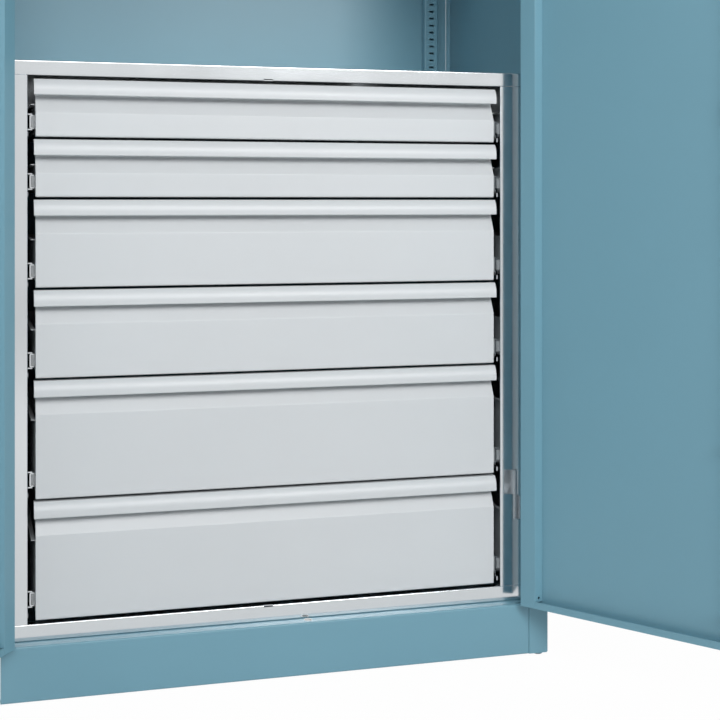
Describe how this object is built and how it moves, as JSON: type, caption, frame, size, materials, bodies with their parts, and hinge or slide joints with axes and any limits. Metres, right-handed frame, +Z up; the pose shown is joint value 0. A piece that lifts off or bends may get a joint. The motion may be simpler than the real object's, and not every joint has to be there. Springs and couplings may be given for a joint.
{
  "type": "two-door drawer cabinet",
  "caption": "Heavy-duty two-door steel cupboard with a block of full-width drawers below an open compartment with a shelf; doors lock by rods and a swing handle.",
  "frame": {"origin": "on the floor under the middle of the cabinet body, leaving out the open doors", "axes": "+X to the right as seen from the front, +Y to the back, +Z up"},
  "size_m": [1.4222, 0.9226, 1.6],
  "materials": {
    "body_paint": "satin powder coat, pastel blue",
    "drawer_paint": "satin powder coat, light grey",
    "zinc_plate": "zinc plated, bright",
    "black_plastic": "moulded, matte",
    "white_plastic": "moulded, smooth",
    "cylinder_chrome": "polished"
  },
  "bodies": {
    "cabinet": {"side_panel_left": "body_paint", "side_panel_right": "body_paint", "back_panel": "body_paint", "top_panel": "body_paint", "door_header": "body_paint", "floor_panel": "body_paint", "rear_plinth": "body_paint", "foot_plates": "zinc_plate", "levelling_feet": "body_paint", "rod_bushes": "white_plastic", "shelf_rails": "body_paint", "shelf": "body_paint", "shelf_clips": "zinc_plate", "block_top_panel": "zinc_plate", "block_base_rail": "zinc_plate", "block_post_left": "zinc_plate", "block_post_right": "zinc_plate", "block_side_left": "zinc_plate", "block_side_right": "zinc_plate", "block_rear_ties": "zinc_plate", "fixed_runners": "zinc_plate", "fixed_hinge_leaves": "zinc_plate"},
    "door_left": {"door_skin_left": "body_paint", "door_stiffener_left": "body_paint", "door_hinge_leaves_left": "zinc_plate"},
    "door_right": {"door_skin_right": "body_paint", "door_stiffener_right": "body_paint", "door_hinge_leaves_right": "zinc_plate", "lock_case": "black_plastic", "rod_guides": "white_plastic"},
    "handle": {"swing_handle": "black_plastic", "rod_cam": "zinc_plate"},
    "cylinder": {"key_cylinder": "cylinder_chrome"},
    "rod_upper": {"lock_rod_upper": "zinc_plate"},
    "rod_lower": {"lock_rod_lower": "zinc_plate"},
    "drawer_1": {"drawer_front_1": "drawer_paint", "drawer_handle_1": "drawer_paint", "drawer_tray_1": "drawer_paint"},
    "drawer_2": {"drawer_front_2": "drawer_paint", "drawer_handle_2": "drawer_paint", "drawer_tray_2": "drawer_paint"},
    "drawer_3": {"drawer_front_3": "drawer_paint", "drawer_handle_3": "drawer_paint", "drawer_tray_3": "drawer_paint"},
    "drawer_4": {"drawer_front_4": "drawer_paint", "drawer_handle_4": "drawer_paint", "drawer_tray_4": "drawer_paint"},
    "drawer_5": {"drawer_front_5": "drawer_paint", "drawer_handle_5": "drawer_paint", "drawer_tray_5": "drawer_paint"},
    "drawer_6": {"drawer_front_6": "drawer_paint", "drawer_handle_6": "drawer_paint", "drawer_tray_6": "drawer_paint"},
    "runner_1": {"middle_runners_1": "zinc_plate"},
    "runner_2": {"middle_runners_2": "zinc_plate"},
    "runner_3": {"middle_runners_3": "zinc_plate"},
    "runner_4": {"middle_runners_4": "zinc_plate"},
    "runner_5": {"middle_runners_5": "zinc_plate"},
    "runner_6": {"middle_runners_6": "zinc_plate"}
  },
  "joints": [
    {"name": "door_left_hinge", "type": "hinge", "parent": "cabinet", "child": "door_left", "pos_m": [-0.4595, -0.2675, 0.8275], "axis": [0, 0, -1], "range_deg": [-124, 0]},
    {"name": "door_right_hinge", "type": "hinge", "parent": "cabinet", "child": "door_right", "pos_m": [0.4595, -0.2675, 0.8275], "axis": [0, 0, 1], "range_deg": [-124, 0]},
    {"name": "handle_turn", "type": "hinge", "parent": "door_right", "child": "handle", "pos_m": [0.68121, -0.60514, 0.98], "axis": [0.829, 0.5592, 0], "range_deg": [-90, 0]},
    {"name": "cylinder_turn", "type": "hinge", "parent": "door_right", "child": "cylinder", "pos_m": [0.68121, -0.60514, 1.007], "axis": [0.829, 0.5592, 0], "range_deg": [-90, 0]},
    {"name": "rod_upper_slide", "type": "slide", "parent": "door_right", "child": "rod_upper", "axis": [0, 0, 1], "range_m": [0, 0.014]},
    {"name": "rod_lower_slide", "type": "slide", "parent": "door_right", "child": "rod_lower", "axis": [0, 0, -1], "range_m": [0, 0.014]},
    {"name": "drawer_1_slide", "type": "slide", "parent": "cabinet", "child": "drawer_1", "axis": [0, -1, 0], "range_m": [0, 0.4]},
    {"name": "drawer_2_slide", "type": "slide", "parent": "cabinet", "child": "drawer_2", "axis": [0, -1, 0], "range_m": [0, 0.4]},
    {"name": "drawer_3_slide", "type": "slide", "parent": "cabinet", "child": "drawer_3", "axis": [0, -1, 0], "range_m": [0, 0.4]},
    {"name": "drawer_4_slide", "type": "slide", "parent": "cabinet", "child": "drawer_4", "axis": [0, -1, 0], "range_m": [0, 0.4]},
    {"name": "drawer_5_slide", "type": "slide", "parent": "cabinet", "child": "drawer_5", "axis": [0, -1, 0], "range_m": [0, 0.4]},
    {"name": "drawer_6_slide", "type": "slide", "parent": "cabinet", "child": "drawer_6", "axis": [0, -1, 0], "range_m": [0, 0.4]},
    {"name": "runner_1_slide", "type": "slide", "parent": "cabinet", "child": "runner_1", "axis": [0, -1, 0], "range_m": [0, 0.2]},
    {"name": "runner_2_slide", "type": "slide", "parent": "cabinet", "child": "runner_2", "axis": [0, -1, 0], "range_m": [0, 0.2]},
    {"name": "runner_3_slide", "type": "slide", "parent": "cabinet", "child": "runner_3", "axis": [0, -1, 0], "range_m": [0, 0.2]},
    {"name": "runner_4_slide", "type": "slide", "parent": "cabinet", "child": "runner_4", "axis": [0, -1, 0], "range_m": [0, 0.2]},
    {"name": "runner_5_slide", "type": "slide", "parent": "cabinet", "child": "runner_5", "axis": [0, -1, 0], "range_m": [0, 0.2]},
    {"name": "runner_6_slide", "type": "slide", "parent": "cabinet", "child": "runner_6", "axis": [0, -1, 0], "range_m": [0, 0.2]}
  ],
  "couplings": [
    {"joint": "rod_upper_slide", "follows": "handle_turn", "m_per_rad": -0.0089126},
    {"joint": "rod_lower_slide", "follows": "handle_turn", "m_per_rad": -0.0089126},
    {"joint": "runner_1_slide", "follows": "drawer_1_slide", "ratio": 0.5},
    {"joint": "runner_2_slide", "follows": "drawer_2_slide", "ratio": 0.5},
    {"joint": "runner_3_slide", "follows": "drawer_3_slide", "ratio": 0.5},
    {"joint": "runner_4_slide", "follows": "drawer_4_slide", "ratio": 0.5},
    {"joint": "runner_5_slide", "follows": "drawer_5_slide", "ratio": 0.5},
    {"joint": "runner_6_slide", "follows": "drawer_6_slide", "ratio": 0.5}
  ]
}
